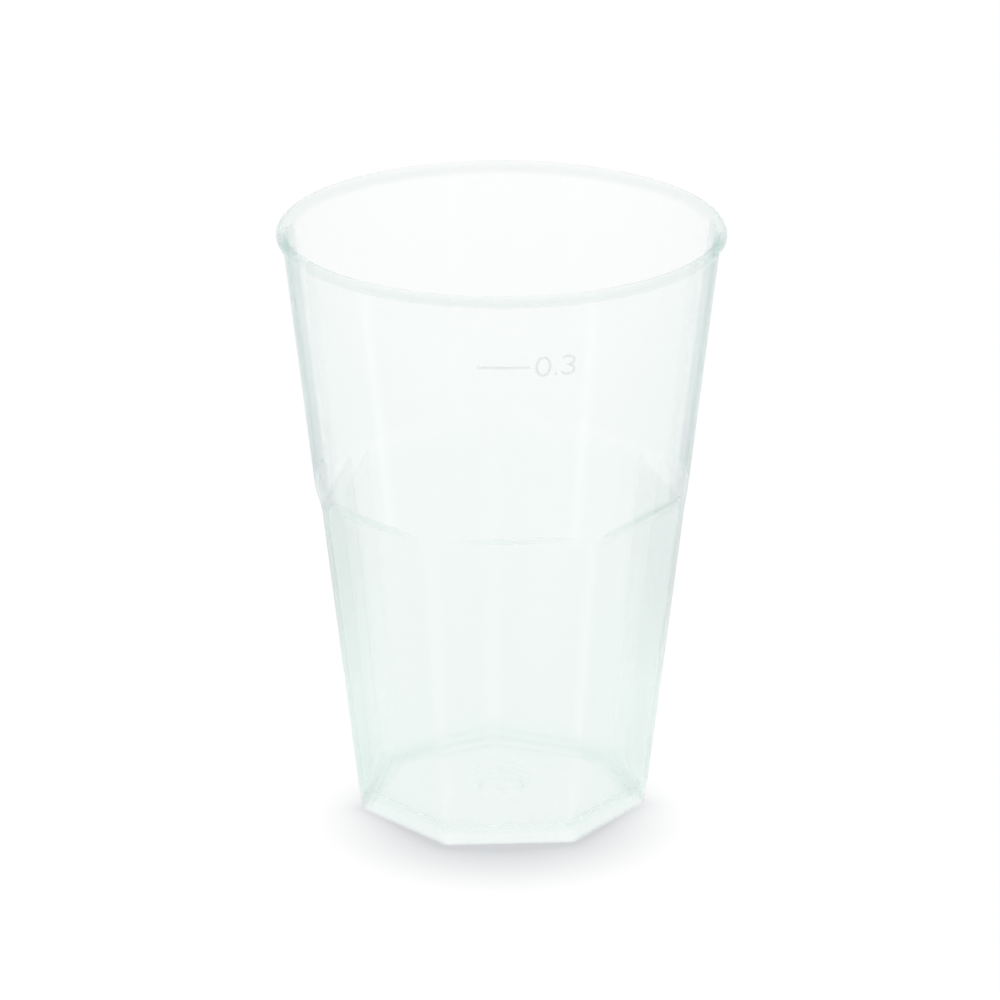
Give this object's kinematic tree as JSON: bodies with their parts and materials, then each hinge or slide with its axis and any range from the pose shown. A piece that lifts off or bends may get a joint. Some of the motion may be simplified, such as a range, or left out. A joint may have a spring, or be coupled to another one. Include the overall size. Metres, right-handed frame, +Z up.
{
  "type": "plastic tumbler",
  "caption": "Clear tapered plastic drinking tumbler: round beaded rim and plain upper wall, flat facets with arched tops below, open at the top.",
  "frame": {"origin": "centre of the base, on the surface the cup stands on", "axes": "+Z up along the cup's axis, front with the measuring line towards -Y, +X to the right seen from the front"},
  "size_m": [0.083, 0.083, 0.113],
  "materials": {
    "clear_plastic": "clear moulded plastic with a faint mint tint and a smooth, glossy surface"
  },
  "bodies": {
    "root": {"tumbler": "clear_plastic"}
  },
  "joints": []
}
